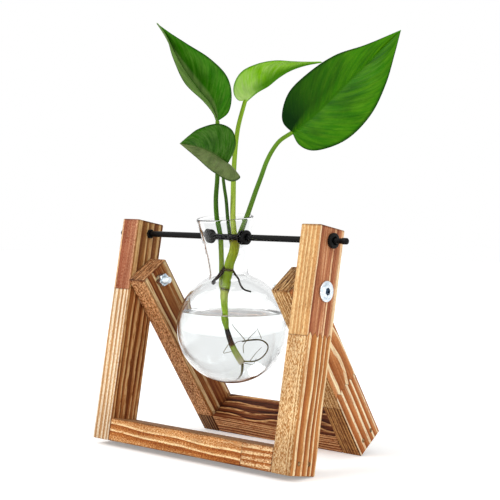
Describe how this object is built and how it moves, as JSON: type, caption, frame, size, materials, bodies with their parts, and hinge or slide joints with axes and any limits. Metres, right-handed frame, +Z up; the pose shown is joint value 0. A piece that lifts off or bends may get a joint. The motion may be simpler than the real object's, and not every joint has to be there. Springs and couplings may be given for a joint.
{
  "type": "hydroponic vase",
  "caption": "Round glass bulb vase with a plant cutting in water, hung by its neck from a rod across a folding scorched-wood stand.",
  "frame": {"origin": "on the table, under the middle of the whole object's box", "axes": "+Z up, +X along the rod to the picture's right-hand post, +Y from the front frame to the rear frame"},
  "size_m": [0.215, 0.1408, 0.3055],
  "materials": {
    "scorched_pine": "torched and waxed pine, growth rings charred dark",
    "zinc_steel": "bright zinc plating",
    "black_rod": "satin black paint",
    "black_rubber": "matt moulded rubber",
    "clear_glass": "clear blown glass, polished",
    "water": "clear still water",
    "green_stem": "smooth green stem",
    "green_leaf": "waxy green leaf",
    "brown_root": "dry brown root"
  },
  "bodies": {
    "front_frame": {"front_left_post": "scorched_pine", "front_right_post": "scorched_pine", "front_bar": "scorched_pine", "front_left_nail_1": "zinc_steel", "front_left_nail_2": "zinc_steel", "front_right_nail_1": "zinc_steel", "front_right_nail_2": "zinc_steel", "bolt_left": "zinc_steel", "bolt_right": "zinc_steel", "nut_left": "zinc_steel", "nut_right": "zinc_steel"},
    "rear_frame": {"rear_left_post": "scorched_pine", "rear_right_post": "scorched_pine", "rear_bar": "scorched_pine", "rear_left_nail_1": "zinc_steel", "rear_left_nail_2": "zinc_steel", "rear_right_nail_1": "zinc_steel", "rear_right_nail_2": "zinc_steel"},
    "rod": {"rod": "black_rod", "rod_end_ring_left": "black_rubber", "rod_end_ring_right": "black_rubber", "rod_stop_ring_left": "black_rubber", "rod_stop_ring_right": "black_rubber"},
    "vase": {"glass_vase": "clear_glass", "neck_grommet_left": "black_rubber", "neck_grommet_right": "black_rubber", "water": "water", "cutting_stem": "green_stem", "petiole_left": "green_stem", "petiole_front": "green_stem", "petiole_middle": "green_stem", "petiole_right": "green_stem", "leaf_left": "green_leaf", "leaf_front": "green_leaf", "leaf_middle": "green_leaf", "leaf_right": "green_leaf", "aerial_root_thick": "brown_root", "aerial_root_thin": "brown_root", "water_root_loop": "brown_root", "water_root_down": "brown_root"}
  },
  "joints": [
    {"name": "stand_fold", "type": "hinge", "parent": "front_frame", "child": "rear_frame", "pos_m": [0, -0.02083, 0.1225], "axis": [1, 0, 0], "range_deg": [-29.5, 40]},
    {"name": "rod_turn", "type": "hinge", "parent": "front_frame", "child": "rod", "pos_m": [0, -0.01499, 0.156], "axis": [1, 0, 0], "continuous": true},
    {"name": "vase_swing", "type": "hinge", "parent": "front_frame", "child": "vase", "pos_m": [0, -0.01499, 0.156], "axis": [1, 0, 0], "range_deg": [-67, 53]}
  ]
}
